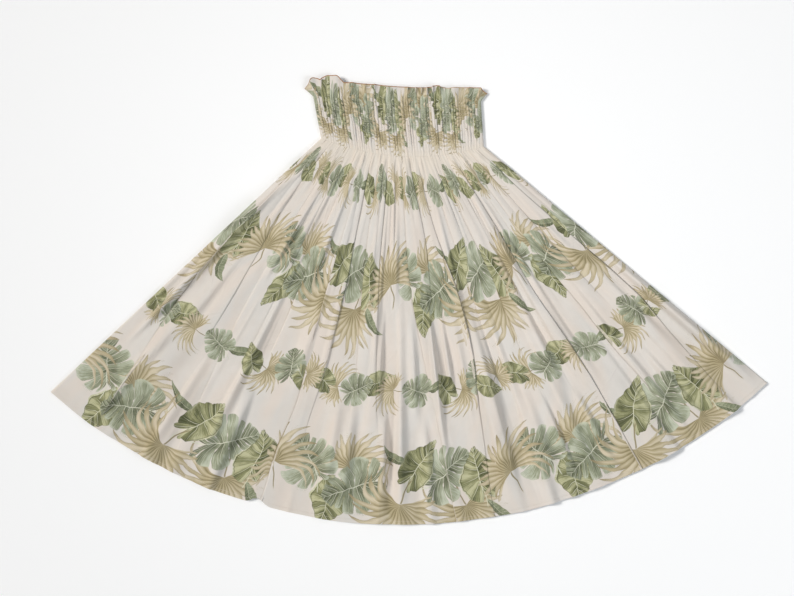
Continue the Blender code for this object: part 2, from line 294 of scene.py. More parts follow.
# ---------------------------------------------------------------- skirt
def skirt_grid(front, q, fine=True):
    """Points of the outer face and their places on the cut, one row for each q from the waist to the hem."""
    table = np.array([[float(x) for x in row] for row in (FRONT_PLEATS if front else BACK_PLEATS)])
    n = len(table)
    rows = len(q)
    width = row_width(skirt_plan, q)[:, None]
    place = np.stack([even(PLEAT_AT, row[:6], q) for row in table], 1)
    wander = np.stack([wave_noise(q * 5.0 + 13.7 * i, seed=71 + front) for i in range(n)], 1)
    place = (place + 0.0030 * wander * smooth(q / 0.2)[:, None]) * width
    lean, tall, tuck, start, stop = (table[:, k] for k in range(6, 11))
    qq = q[:, None]
    alive = smooth((qq - start + 0.08) / 0.08) * (1 - smooth((qq - stop + 0.30) / 0.30))
    height = np.interp(q, FOLD_AT, FRONT_TALL if front else BACK_TALL)[:, None]
    uneven = np.stack([wave_noise(q * 4.0 + 7.9 * i, seed=81 + front) for i in range(n)], 1)
    high = tall * height * alive * (1 + 0.30 * uneven)
    zone = np.interp(q, FOLD_AT, ZONE)[:, None] * np.ones(n)
    gap = np.diff(np.concatenate([0 * width, place, width], 1), axis=1)
    room = np.minimum(gap[:, :-1], gap[:, 1:])
    zone = np.minimum(zone, 0.16 * room)
    over = np.interp(q, FOLD_AT, TUCK)[:, None] * tuck * alive
    slack = np.stack([wave_noise(q * 3.1 + 5.3 * i, seed=85 + front) for i in range(n)], 1)
    over = np.minimum(np.minimum(over * (1 if front else 2.0), 0.30 * room) * (1 + 0.85 * slack), 0.46 * room)

    # Columns: close together across each steep side, wider between.
    in_zone, between = (9, 12) if fine else (7, 8)
    left = np.concatenate([0 * width, place + 1.7 * zone], 1)
    right = np.concatenate([place - 1.7 * zone, width], 1)
    xs, tube_of, share_of = [], [], []
    for j in range(n + 1):
        share = np.linspace(0, 1, between + 2)[1:-1]
        if j == 0:
            share = np.concatenate([[0.0, 0.02, 0.05, 0.10], np.linspace(0.18, 1, between)[:-1]])
        if j == n:
            share = np.concatenate([np.linspace(0, 0.82, between)[1:], [0.90, 0.95, 0.98, 1.0]])
        for s in share:
            xs.append(left[:, j] + (right[:, j] - left[:, j]) * s)
            tube_of.append(j)
        if j < n:
            for s in np.linspace(-1.7, 1.7, in_zone):
                xs.append(place[:, j] + s * zone[:, j])
                tube_of.append(j if s < 0 else j + 1)
    x = np.stack(xs, 1)
    tube_of = np.array(tube_of)

    # Round gathers between the pleats, each dying out at its own place
    bounds = np.concatenate([0 * width, place, width], 1)
    lo, hi = bounds[:, tube_of], bounds[:, tube_of + 1]
    f = np.clip((x - lo) / (hi - lo), 0, 1)
    seed = 11 if front else 12
    r1, r2, r3 = (rand(n + 1, seed=seed + k) for k in range(3))
    tube = np.interp(q, FOLD_AT, FRONT_TUBE if front else BACK_TUBE)[:, None]
    end = (0.30 + 0.35 * r1)[tube_of]
    second_end = (0.12 + 0.26 * r2)[tube_of]
    single = np.sin(np.pi * f) ** 0.8
    where = (0.36 + 0.28 * r3)[tube_of]
    g = np.where(f < where, f / where, 1 + (f - where) / (1 - where))
    double = np.abs(np.sin(np.pi * g)) ** 0.75
    part = 1 - smooth((qq - second_end + 0.14) / 0.14)
    round_ = tube * (0.65 + 0.5 * r2[tube_of]) * (1 - smooth((qq - end + 0.22) / 0.22)) * mix(single, 0.86 * double, part)
    third = (0.75 + 0.5 * r1)[tube_of]
    round_ += 0.0004 * tube / tube.max() * np.sin(5.1 * np.pi * f + 5 * third) * (1 - smooth(qq / 0.30)) * np.sin(np.pi * f)

    # Pleats: a soft rise to the steep side, and the overlap there
    fold = np.zeros_like(x)
    shift = np.zeros_like(x)
    for i in range(n):
        d = (x - place[:, i:i + 1]) / zone[:, i:i + 1]
        away = (place[:, i:i + 1] - x) * lean[i]
        beside = 0.96 * (gap[:, i:i + 1] if lean[i] > 0 else gap[:, i + 1:i + 2])
        away = np.clip(away, 0, None)
        up = 0.62 * smooth(1 - away / np.minimum(0.030, beside)) + 0.38 * smooth(1 - away / np.minimum(0.075, beside))
        drop = 0.5 * smooth((lean[i] * d + 4.0) / 4.4) + 0.5 * smooth((lean[i] * d + 1.6) / 2.6)
        fold += high[:, i:i + 1] * up * (1 - drop)
        shift += -over[:, i:i + 1] * d * np.exp((1 - np.clip(d * d, 0, 40)) / 2)
    # Soft ridges and troughs that run down the cloth, and a little slackness across them, the same for all layers
    # of a pleat
    shift *= smooth(np.minimum(x, width - x) / 0.012)
    moved = np.clip(x + shift, 0, width)
    t = moved / width
    swell = (np.sin(2 * np.pi * (6.3 * t + 0.55 * qq + 0.1)) + 0.8 * np.sin(2 * np.pi * (11.7 * t - 0.9 * qq + 0.37))
             + 0.6 * np.sin(2 * np.pi * (17.9 * t + 1.3 * qq + 0.7)))
    across = np.sin(2 * np.pi * (3.1 * qq + 1.7 * np.sin(7 * t + 1) + 0.2)) * (0.4 + 0.6 * np.sin(2 * np.pi * (4.3 * t + 0.3)) ** 2)
    broad = sheet_noise(t * 31.0, qq * 2.6 + 0 * t, seed=91 + front)
    narrow = sheet_noise(t * 76.0, qq * 3.6 + 0 * t, seed=93 + front)
    loose = sheet_noise(t * 12.0, qq * 9.0 + 0 * t, seed=95 + front)
    lively = 0.85 + 0.65 * sheet_noise(t * 9.0, qq * 1.5 + 0 * t, seed=99 + front)
    rolls = np.clip(narrow + 0.12, 0, None) ** 1.15
    lower = smooth((qq - 0.30) / 0.30)
    broad = (1.35 + 1.9 * lower) * broad + 1.5 * lower * np.clip(sheet_noise(t * 22.0, qq * 2.0 + 0 * t, seed=105 + front), 0, None)
    swell = 0.35 * swell + 0.25 * across + broad + (9.2 - 0.4 * lower) * rolls * lively + 0.45 * loose + 0.4
    swell = 0.5 * (swell + np.sqrt(swell * swell + 0.5)) * (0.00105 if front else 0.0002)
    swell = swell * (0.12 + 0.68 * smooth((qq - 0.05) / 0.35) + 0.95 * smooth((qq - 0.40) / 0.30) - 0.85 * smooth((qq - 0.84) / 0.16))
    swell = swell * (1 + 0.35 * (2 * t - 1) ** 2 + 0.55 * smooth((0.34 - t) / 0.25))
    pucker = np.clip(sheet_noise(t * 58.0, qq * 10.0 + 0 * t, seed=103 + front) + 0.05, 0, None)
    pucker = pucker * smooth(qq / 0.03) * (1 - smooth((qq - 0.05) / 0.19)) * (0.0034 if front else 0.0007)
    roof = np.interp(q, HEIGHT_AT, BACK_ROOF)[:, None]
    end = band_grid(front, 8, 1, rows=[BAND_ROWS])[0][0]
    ridge = np.interp(t, (end[:, 0] - WAIST_LEFT[0]) / (WAIST_RIGHT[0] - WAIST_LEFT[0]), end[:, 2] - levels(front, BACK_ROOF[0])[0])
    last = 0.050 + 0.030 * wave_noise(t * BAND_RIDGES, seed=97 + front)
    lift = (round_ + fold + swell) * smooth((qq + 0.004) / 0.075) + np.maximum(ridge, 0) * (1 - smooth(qq / last)) + pucker
    if front:
        tallest = 0.0205
        lift = 0.5 * (lift + tallest - np.sqrt((lift - tallest) ** 2 + 0.004 ** 2))
    else:
        lift = np.clip(lift, 0.0, 0.96 * roof)
    z = settle(front, lift, x, width, roof)
    plan = skirt_plan(t, q[:, None] * np.ones_like(x))
    points = np.concatenate([plan, z[..., None]], -1)

    # Places on the cut: along the cloth's own length
    step = np.linalg.norm(np.diff(points, axis=1), axis=2)
    along = np.concatenate([np.zeros((rows, 1)), np.cumsum(step, 1)], 1)
    u = CUT_WIDTH * along / along[:, -1:]
    sag = 4 * t * (1 - t) - 0.5
    v = WAIST_V + SKIRT_DROP * q[:, None] - 0.008 * sag * np.sin(np.pi * np.clip(q, 0, 1))[:, None]
    return points, np.stack([u, v], -1)


# ---------------------------------------------------------------- waistband
def ridge_edges(count, seed):
    w = 0.72 + 0.56 * rand(count, seed=seed)
    return np.concatenate([[0], np.cumsum(w)]) / w.sum()


def band_grid(front, per_ridge, per_space, rows=None):
    """The shirred band from its first row down to its last; ridges are pinched and a little displaced at each row."""
    count = BAND_RIDGES
    seed = 31 if front else 41
    edge = ridge_edges(count, seed)
    n_rows = BAND_ROWS * per_space + 1
    k = np.linspace(0, BAND_ROWS, n_rows) if rows is None else np.asarray(rows, float)
    column = np.arange(count * per_ridge + 1)
    ridge = np.minimum(column // per_ridge, count - 1)
    f = (column - ridge * per_ridge) / per_ridge
    amp = 0.55 + 0.55 * rand(BAND_ROWS + 2, count, seed=seed + 1)
    push = (rand(BAND_ROWS + 2, count + 1, seed=seed + 2) - 0.5) * 0.34
    push[:, 0] = push[:, -1] = 0
    space = np.clip(np.floor(k).astype(int), 0, BAND_ROWS - 1)
    frac = k - space
    toward = smooth(frac)
    a = mix(amp[space], amp[space + 1], toward[:, None])[:, ridge]
    p = mix(push[space], push[space + 1], toward[:, None])
    pinch = 0.84 + 0.16 * np.sin(np.pi * np.clip(frac, 0, 1)) ** 0.8
    pinch = pinch * (0.30 + 0.70 * smooth((BAND_ROWS - k) / 4.5))
    pitch = 1.0 / count
    lo = edge[ridge] + p[:, ridge] * pitch
    hi = edge[ridge + 1] + p[:, ridge + 1] * pitch
    s = lo + (hi - lo) * f
    profile = np.sin(np.pi * f) ** 0.72
    rounded = 0.30 * np.sin(np.pi * f) + 0.70 * np.sin(np.pi * f) ** 2
    lean = ((rand(count, seed=seed + 3) - 0.5) * 0.5)[ridge]
    s = s + lean * pitch * profile * 0.55 * np.clip(np.minimum(s, 1 - s) / 0.02, 0, 1)
    tallest = 0.0035 if front else 0.0028
    fold = tallest * (0.62 + 0.38 * np.sin(2.1 * ridge + 0.8 * np.sin(ridge))) * a * rounded * pinch[:, None]
    r = 1 - k / BAND_ROWS
    width = row_width(band_plan, np.clip(r, 0, 1))[:, None]
    x = np.clip(s, 0, 1) * width
    roof = np.full_like(width, BACK_ROOF[0])
    z = settle(front, fold, x, width, roof)
    plan = band_plan(np.clip(s, 0, 1), r[:, None] * np.ones_like(s))
    points = np.concatenate([plan, z[..., None]], -1)
    step = np.linalg.norm(np.diff(points, axis=1), axis=2)
    valley = (1 - 0.5 * (profile[1:] + profile[:-1])) ** 2
    hidden = 0.35 + 1.3 * rand(BAND_ROWS + 2, count, seed=seed + 4)
    hidden = 0.25 * hidden + 0.75 * hidden.mean(0)
    hidden = mix(hidden[space], hidden[space + 1], toward[:, None])[:, ridge[:-1]]
    along = np.concatenate([np.zeros((len(k), 1)), np.cumsum(step * (1 + 52.0 * valley ** 2 * hidden), 1)], 1)
    u = CUT_WIDTH * along / along[:, -1:]
    slip = rand(4 * BAND_ROWS + 3, count, seed=seed + 5) - 0.5
    at = np.clip(np.floor(4 * k).astype(int), 0, 4 * BAND_ROWS)
    slip = mix(slip[at], slip[at + 1], smooth(4 * k - at)[:, None])[:, ridge]
    u = u + 0.0055 * slip * profile * np.clip(np.minimum(s, 1 - s) / 0.03, 0, 1)
    down = k / BAND_ROWS
    v = FRILL_DEEP + BAND_CLOTH * (0.45 * down + 0.55 * down ** 1.9)[:, None] * np.ones_like(u)
    return points, np.stack([u, v], -1)


# ---------------------------------------------------------------- frill
def frill_grid(front, per_ridge, rows):
    """The frill from its free edge down to the first shirring row, where it takes up the band's ridges."""
    base, base_uv = band_grid(front, per_ridge, 1, rows=[0.0])
    base, base_uv = base[0], base_uv[0]
    table = np.array(FRONT_FRILL if front else BACK_FRILL)
    across = np.array(BAND_RIGHT) - np.array(BAND_LEFT)
    width = np.linalg.norm(across)
    across /= width
    up = np.array([-across[1], across[0]])
    t = ((base[:, :2] - np.array(BAND_LEFT)) @ across) / width
    t = np.clip(t, 0, 1)
    u = base_uv[:, 0] / CUT_WIDTH
    out, side, lift = (np.interp(t, table[:, 0], table[:, k]) for k in (1, 2, 3))
    smoothing = np.hanning(9)
    smoothing /= smoothing.sum()
    ease = lambda a: np.convolve(np.pad(a, 4, "edge"), smoothing, "valid")
    out, side, lift = ease(out), ease(side), ease(lift)
    seed = 51 if front else 61
    phase = 2 * np.pi * (15.0 * t + 0.9 * np.sin(7.7 * t + 1.0) + 0.5 * np.sin(19 * t))
    wave = 0.5 + 0.5 * np.sin(phase)
    edge = np.minimum(t, 1 - t)
    inside = smooth(edge / 0.03)
    grid, uv = [], []
    for h in np.concatenate([[1.0, 0.985], np.linspace(1, 0, rows)[1:-1], [0.015, 0.0]]):
        opened = smooth(h * 1.15)
        gather = base[:, 2] - levels(front, BACK_ROOF[0])[0]
        rim_z = levels(front, BACK_ROOF[0])[1]
        level = levels(front, BACK_ROOF[0])[0]
        z_open = (0.0046 if front else 0.0020) * wave ** 1.2 + lift * (1.0 if front else 0.5)
        fold = mix(gather, z_open, opened * inside)
        drop = -0.0012 * h * h if front else 0
        z = np.where(inside < 1, mix(np.minimum(base[:, 2], rim_z + 0.004), level + fold + drop, inside), level + fold + drop)
        sway = 0.0022 * np.sin(phase + 1.9) * opened * inside
        reach = out * h
        plan = base[:, :2] + up * reach[:, None] + across * (side * h + sway)[:, None]
        grid.append(np.column_stack([plan, z]))
        uv.append(np.column_stack([base_uv[:, 0], FRILL_DEEP - reach]))
    return np.array(grid), np.array(uv)


# ---------------------------------------------------------------- print: each face's place on the leaves
def leaf_places():
    """All leaves of a half, layer by layer: u, v, turn, size, flip, tone."""
    out = {layer: [] for layer in LAYERS}
    for garland, first, start in ((LARGE_GARLAND, LARGE_V, LARGE_START), (SMALL_GARLAND, SMALL_V, SMALL_START)):
        for row in range(-1, 4):
            for column in range(-3, 6):
                for layer, u, v, turn, size, flip, tone in garland:
                    uu = u + start + SLIDE * row + column * REPEAT_U
                    out[layer].append((uu, v + first + row * REPEAT_V, math.radians(turn), size, flip, tone))
    return {layer: np.array(rows) for layer, rows in out.items()}


LEAVES = leaf_places()


def leaf_coordinates(layer, centre, corners):
    """For each face the leaf of this layer that it lies on, if any, and its corners in that leaf's own measure."""
    leaves = LEAVES[layer]
    best = np.full(len(centre), 1e9)
    which = np.zeros(len(centre), int)
    for i, (u, v, turn, size, flip, tone) in enumerate(leaves):
        reach = 1.12 * size + 0.012
        near = np.nonzero((np.abs(centre[:, 0] - u) < reach) & (np.abs(centre[:, 1] - v) < reach))[0]
        d = np.hypot(centre[near, 0] - u, centre[near, 1] - v) / size
        closer = near[d < best[near]]
        best[closer] = d[d < best[near]]
        which[closer] = i
    chosen = leaves[which]
    on = best < 1.12 + 0.008 / chosen[:, 3]
    d = corners - chosen[:, None, :2]
    d[..., 1] *= -1                       # up the cloth is up the leaf
    c, s = np.cos(-chosen[:, 2])[:, None], np.sin(-chosen[:, 2])[:, None]
    x = (c * d[..., 0] - s * d[..., 1]) / chosen[:, 3:4]
    y = (s * d[..., 0] + c * d[..., 1]) / chosen[:, 3:4]
    x = np.where(chosen[:, 4:5] > 0.5, -x, x)
    tone = np.repeat(chosen[:, 5:6], 4, 1)
    out = np.stack([x, y, tone], -1)
    out[~on] = (9.0, 9.0, 0.5)
    return out


# ---------------------------------------------------------------- meshes
def shell(name, points, uv, thickness, outward_up, material):
    """A closed thin shell: the outer grid, the same grid set in by the cloth's thickness, and its edges."""
    rows, cols = points.shape[:2]
    du = np.gradient(points, axis=1)
    dv = np.gradient(points, axis=0)
    normal = np.cross(dv, du)
    length = np.linalg.norm(normal, axis=2, keepdims=True)
    normal = normal / np.maximum(length, 1e-12)
    if not outward_up:
        normal = -normal
    inner = points - normal * thickness
    if not outward_up:
        inner[..., 2] = np.maximum(inner[..., 2], 0.00005)
    verts = np.concatenate([points.reshape(-1, 3), inner.reshape(-1, 3)])
    index = np.arange(rows * cols).reshape(rows, cols)
    quad = np.stack([index[:-1, :-1], index[1:, :-1], index[1:, 1:], index[:-1, 1:]], -1).reshape(-1, 4)
    if not outward_up:
        quad = quad[:, ::-1]
    inner_quad = quad[:, ::-1] + rows * cols
    loop = np.concatenate([index[0, :], index[1:, -1], index[-1, -2::-1], index[-2:0:-1, 0]])
    nxt = np.roll(loop, -1)
    rim = np.stack([loop, nxt, nxt + rows * cols, loop + rows * cols], -1)
    if not outward_up:
        rim = rim[:, ::-1]
    faces = np.concatenate([quad, inner_quad, rim])
    mesh = bpy.data.meshes.new(name)
    mesh.vertices.add(len(verts))
    mesh.vertices.foreach_set("co", verts.astype(np.float32).ravel())
    mesh.loops.add(faces.size)
    mesh.loops.foreach_set("vertex_index", faces.astype(np.int32).ravel())
    mesh.polygons.add(len(faces))
    mesh.polygons.foreach_set("loop_start", np.arange(0, faces.size, 4, dtype=np.int32))
    mesh.polygons.foreach_set("loop_total", np.full(len(faces), 4, dtype=np.int32))
    mesh.polygons.foreach_set("use_smooth", np.arange(len(faces)) < 2 * len(quad))
    mesh.update(calc_edges=True)
    flat = np.concatenate([uv.reshape(-1, 2), uv.reshape(-1, 2)])
    corner_uv = flat[faces]
    # place on the cut, in metres
    cut = mesh.attributes.new("cut", "FLOAT_VECTOR", "CORNER")
    side = np.concatenate([np.zeros(len(quad)), np.ones(len(inner_quad)), np.full(len(rim), 0.5)])
    data = np.concatenate([corner_uv, np.repeat(side[:, None], 4, 1)[..., None]], -1)
    cut.data.foreach_set("vector", data.astype(np.float32).ravel())
    centre = corner_uv.mean(1)
    for layer in LAYERS:
        places = mesh.attributes.new(f"on_{layer}", "FLOAT_VECTOR", "CORNER")
        places.data.foreach_set("vector", leaf_coordinates(layer, centre, corner_uv.copy()).astype(np.float32).ravel())
    # flat pattern for baking: the outer face above, the inner face below, the edges in a strip
    grid_uv = np.stack(np.broadcast_arrays(np.linspace(0, 1, cols)[None, :], np.linspace(0, 1, rows)[:, None]), -1)
    lay = np.concatenate([grid_uv.reshape(-1, 2), grid_uv.reshape(-1, 2)])[faces]
    bake = np.empty_like(lay)
    a, b, c = slice(0, len(quad)), slice(len(quad), 2 * len(quad)), slice(2 * len(quad), None)
    bake[a, :, 0] = 0.01 + 0.98 * lay[a, :, 0]
    bake[a, :, 1] = 0.99 - 0.62 * lay[a, :, 1]
    bake[b, :, 0] = 0.01 + 0.98 * lay[b, :, 0]
    bake[b, :, 1] = 0.35 - 0.30 * lay[b, :, 1]
    m = len(rim)
    run = 0.01 + 0.98 * np.arange(m + 1) / m
    order = (0, 1, 1, 0) if outward_up else (0, 1, 1, 0)[::-1]
    high = (0.03, 0.03, 0.01, 0.01) if outward_up else (0.03, 0.03, 0.01, 0.01)[::-1]
    for corner in range(4):
        bake[c, corner, 0] = run[:-1] if order[corner] == 0 else run[1:]
        bake[c, corner, 1] = high[corner]
    layer = mesh.uv_layers.new(name="OFBake")
    layer.data.foreach_set("uv", bake.astype(np.float32).ravel())
    mesh.materials.append(material)
    piece = bpy.data.objects.new(name, mesh)
    bpy.context.scene.collection.objects.link(piece)
    mesh.validate()
    return piece


def tube(name, paths, radius, sides, material):
    """Threads: a closed tube along each path."""
    verts, faces = [], []
    ring = np.linspace(0, 2 * np.pi, sides, endpoint=False)
    count = 0
    for path in paths:
        path = np.asarray(path, float)
        tangent = np.gradient(path, axis=0)
        tangent /= np.maximum(np.linalg.norm(tangent, axis=1, keepdims=True), 1e-12)
        a = np.cross(tangent, (0.0, 0.0, 1.0))
        a /= np.maximum(np.linalg.norm(a, axis=1, keepdims=True), 1e-12)
        b = np.cross(tangent, a)
        n = len(path)
        p = path[:, None] + radius * (a[:, None] * np.cos(ring)[None, :, None] + b[:, None] * np.sin(ring)[None, :, None])
        verts.append(p.reshape(-1, 3))
        index = count + np.arange(n * sides).reshape(n, sides)
        nxt = np.roll(index, -1, axis=1)
        quad = np.stack([index[:-1], index[1:], nxt[1:], nxt[:-1]], -1).reshape(-1, 4)
        faces += [tuple(f) for f in quad[:, ::-1]]
        faces.append(tuple(index[0]))
        faces.append(tuple(index[-1][::-1]))
        count += n * sides
    mesh = bpy.data.meshes.new(name)
    mesh.from_pydata(np.concatenate(verts).tolist(), [], faces)
    mesh.shade_smooth()
    mesh.materials.append(material)
    piece = bpy.data.objects.new(name, mesh)
    bpy.context.scene.collection.objects.link(piece)
    return piece


# ---------------------------------------------------------------- shader graphs
class Graph:
    """Builds math nodes from plain formulas."""

    def __init__(self, tree):
        self.tree = tree

    def node(self, kind, **settings):
        made = self.tree.nodes.new(kind)
        for key, value in settings.items():
            setattr(made, key, value)
        return made

    def put(self, socket, value):
        if isinstance(value, Wire):
            self.tree.links.new(value.socket, socket)
        else:
            socket.default_value = value

    def math(self, operation, *values, clamp=False):
        made = self.node("ShaderNodeMath", operation=operation, use_clamp=clamp)
        for socket, value in zip(made.inputs, values):
            self.put(socket, value)
        return Wire(self, made.outputs[0])

    def wire(self, socket):
        return Wire(self, socket)

    def abs(self, a):
        return self.math("ABSOLUTE", a)

    def smooth(self, a, low, high):
        """0 below low and 1 above high, or the other way round where low is the larger."""
        made = self.node("ShaderNodeMapRange", interpolation_type="SMOOTHSTEP")
        rising = not (isinstance(low, float) and isinstance(high, float)) or low < high
        self.put(made.inputs["Value"], a)
        self.put(made.inputs["From Min"], low if rising else high)
        self.put(made.inputs["From Max"], high if rising else low)
        made.inputs["To Min"].default_value = 0.0 if rising else 1.0
        made.inputs["To Max"].default_value = 1.0 if rising else 0.0
        return Wire(self, made.outputs["Result"])

    def mix(self, factor, a, b):
        made = self.node("ShaderNodeMix", data_type="RGBA")
        self.put(made.inputs[0], factor)
        self.put(made.inputs[6], a)
        self.put(made.inputs[7], b)
        return Wire(self, made.outputs[2])

    def noise(self, vector, scale, detail=2.0, roughness=0.5):
        made = self.node("ShaderNodeTexNoise")
        self.put(made.inputs["Vector"], vector)
        made.inputs["Scale"].default_value = scale
        made.inputs["Detail"].default_value = detail
        made.inputs["Roughness"].default_value = roughness
        return Wire(self, made.outputs["Fac"])

    def combine(self, x, y, z):
        made = self.node("ShaderNodeCombineXYZ")
        for socket, value in zip(made.inputs, (x, y, z)):
            self.put(socket, value)
        return Wire(self, made.outputs[0])

    def split(self, vector):
        made = self.node("ShaderNodeSeparateXYZ")
        self.put(made.inputs[0], vector)
        return [Wire(self, s) for s in made.outputs]


class Wire:
    def __init__(self, graph, socket):
        self.graph, self.socket = graph, socket

    def __add__(self, other):
        return self.graph.math("ADD", self, other)

    def __radd__(self, other):
        return self.graph.math("ADD", other, self)

    def __sub__(self, other):
        return self.graph.math("SUBTRACT", self, other)

    def __rsub__(self, other):
        return self.graph.math("SUBTRACT", other, self)

    def __mul__(self, other):
        return self.graph.math("MULTIPLY", self, other)

    def __rmul__(self, other):
        return self.graph.math("MULTIPLY", other, self)

    def __truediv__(self, other):
        return self.graph.math("DIVIDE", self, other)


def rgb(r, g, b):
    """A colour given as it looks on a screen, 0 to 255."""
    def linear(c):
        c /= 255
        return c / 12.92 if c <= 0.04045 else ((c + 0.055) / 1.055) ** 2.4
    return (linear(r), linear(g), linear(b), 1.0)


def leaf_group(name, build):
    tree = bpy.data.node_groups.new(name, "ShaderNodeTree")
    tree.interface.new_socket("Place", in_out="INPUT", socket_type="NodeSocketVector")
    tree.interface.new_socket("Under", in_out="INPUT", socket_type="NodeSocketColor")
    tree.interface.new_socket("Color", in_out="OUTPUT", socket_type="NodeSocketColor")
    graph = Graph(tree)
    source = graph.node("NodeGroupInput")
    target = graph.node("NodeGroupOutput")
    place = graph.wire(source.outputs["Place"])
    under = graph.wire(source.outputs["Under"])
    x, y, tone = graph.split(place)
    wob = graph.noise(graph.combine(x, y, tone * 9.0), 3.2, 1.0)
    wob2 = graph.noise(graph.combine(y, x, tone * 7.0 + 3.0), 3.2, 1.0)
    color, mask = build(graph, x + (wob - 0.5) * 0.10, y + (wob2 - 0.5) * 0.10, tone, place)
    out = graph.mix(mask, under, color)
    graph.tree.links.new(out.socket, target.inputs["Color"])
    return tree


def lobe_field(g, ax, y, base, fan):
    """Where the vein through (ax, y) leaves the midrib, above the stalk, and that vein's slope."""
    a, b, c, bend = fan
    b2 = ax * b + 1.0
    rest = y - base - ax * a - ax * ax * bend
    inner = g.math("MAXIMUM", b2 * b2 - ax * rest * (4.0 * c), 0.0)
    start = rest * 2.0 / (b2 + g.math("SQRT", inner))
    slope = start * b + a - start * start * c + ax * (2.0 * bend)
    grow = g.math("MAXIMUM", ax * (b - start * (2.0 * c)) + 1.0, 0.3)
    across = grow / g.math("SQRT", slope * slope + 1.0)
    return start, across


def broad_leaf(lobes, split, wide, fan, colours, curl):
    dark, mid, light, vein_colour, edge_light = colours
    base = -0.42

    def build(g, x, y, tone, place):
        ax = g.abs(x)
        side = g.math("SIGN", x)
        start, across = lobe_field(g, ax, y, base, fan)
        lobe = start * (lobes / 1.36) + side * 0.13
        frac = g.math("FRACT", lobe)
        number = g.math("FLOOR", lobe)
        white = g.node("ShaderNodeTexWhiteNoise", noise_dimensions="2D")
        g.put(white.inputs["Vector"], g.combine(number + 0.5, side + tone * 13.0, 0.0))
        chance = g.wire(white.outputs["Value"])
        edge_number = g.math("FLOOR", lobe + 0.5)
        white2 = g.node("ShaderNodeTexWhiteNoise", noise_dimensions="2D")
        g.put(white2.inputs["Vector"], g.combine(edge_number + 0.5, side + tone * 29.0, 0.0))
        edge_chance = g.wire(white2.outputs["Value"])
        to_vein = g.abs(frac - 0.5)
        width = across * (1.36 / lobes)
        # outline: an oval, drawn in towards the tip, with round lobe ends
        half = (1.0 - g.smooth(y, 0.05, 1.0) * (0.34 if split else 0.66)) * wide
        ex = ax / half
        ey = (y - 0.05) / (0.93 if split else 0.95)
        radius = g.math("SQRT", ex * ex + ey * ey)
        lean = g.abs(frac - 0.56) * 1.9
        lean = g.math("MINIMUM", lean, 1.0)
        rounded = 1.0 - g.math("SQRT", 1.0 - lean * lean * 0.92)
        ripple = g.noise(g.combine(start * 3.0, side, tone * 7.0), 4.0, 1.0)
        if split:
            ring = radius + rounded * g.smooth(start, 1.15, 0.80) * 0.17 + (chance - 0.5) * g.smooth(start, 1.05, 0.80) * 0.13
        else:
            ring = radius + rounded * 0.085 + (ripple - 0.5) * 0.20 * g.smooth(y, 0.95, 0.6)
        sinus = g.smooth(start, 0.21, 0.0)
        ring = ring + sinus * sinus * 0.22
        mask = g.smooth(ring, 1.0, 0.972) * g.smooth(start, -0.012, 0.004)
        if split:
            begin = edge_chance * 0.30 + 0.44
            reach = g.math("MAXIMUM", (ring - begin) / (1.0 - begin), 0.0)
            gap = reach * reach * 0.046 + g.math("GREATER_THAN", reach, 0.0) * 0.003
            cut = g.smooth((0.5 - to_vein) * width - gap, -0.003, 0.009)
            cut = g.math("MAXIMUM", cut, g.smooth(start, 0.92, 1.02))
            cut = g.math("MAXIMUM", cut, g.smooth(start, 0.06, 0.02))
            # small holes beside the midrib, between some lobes
            hx = (ex - 0.25) / 0.065
            hy = (0.5 - to_vein) * width / 0.013
            hole = g.smooth(hx * hx + hy * hy, 0.8, 1.4)
            hole = 1.0 - (1.0 - hole) * g.math("GREATER_THAN", edge_chance, 0.55)
            mask = mask * cut * hole
        # tone: dark by the midrib and beside the veins, light streaks between them, paler towards the margin
        streak = g.noise(g.combine(ax * 1.3, start * 40.0, tone * 5.0 + side), 3.2, 3.0)
        cloud = g.noise(g.combine(x, y, tone * 11.0 + 2.0), 2.4, 2.0)
        lit = g.smooth(frac, 0.30, 0.72)
        bright = (tone * 0.20 - 0.08 + g.smooth(ex, 0.06, 0.70) * (0.40 if split else 0.12) + lit * (0.22 if split else 0.38)
                  + g.smooth(to_vein, 0.04, 0.30) * (0.16 if split else 0.30) + (chance - 0.5) * (0.20 if split else 0.42)
                  + (streak - 0.5) * 1.30 + (cloud - 0.5) * 1.1 + side * (0.04 if split else 0.10))
        shade = g.mix(g.smooth(bright, 0.02, 0.46), dark, mid)
        shade = g.mix(g.smooth(bright, 0.44, 0.98), shade, light)
        glint = g.smooth(ring, 0.86, 0.96) * g.smooth(cloud, 0.46, 0.60)
        shade = g.mix(glint * 0.55, shade, edge_light)
        if not split:
            shade = g.mix(g.smooth(ring, 0.93, 0.99) * 0.35, shade, dark)
        if curl:
            # the margin turned over on one side, pale
            wave = g.math("SINE", start * 17.0 + tone * 20.0)
            over = ring + x * 0.30 + wave * 0.035
            turned = g.smooth(over, 1.075, 1.10) * g.smooth(y, -0.62, -0.35)
            line = g.smooth(g.abs(over - 1.05), 0.05, 0.0) * g.smooth(y, -0.62, -0.35)
            shade = g.mix(line * 0.8, shade, dark)
            pale = g.mix(g.smooth(streak, 0.35, 0.65), light, edge_light)
            shade = g.mix(turned, shade, pale)
        # veins
        thin = (1.0 - g.smooth(ex, 0.05, 0.9)) * 0.004 + 0.001
        vein = g.smooth(to_vein * width - thin, 0.008, 0.0) * g.smooth(ex, 0.92, 0.35)
        rib = g.smooth(ax - (1.0 - g.smooth(y, -0.4, 0.9)) * 0.007, 0.011, 0.002) * g.smooth(y, 0.95, 0.70) * g.smooth(y, base - 0.02, base + 0.01)
        fine = g.abs(g.math("FRACT", frac * 4.0) - 0.5)
        fine = g.smooth(fine, 0.16, 0.02) * g.smooth(ex, 0.10, 0.35) * (0.20 if split else 0.10)
        shade = g.mix(fine, shade, vein_colour)
        shade = g.mix(g.math("MAXIMUM", vein * (0.58 if split else 0.80), rib * 0.92), shade, vein_colour)
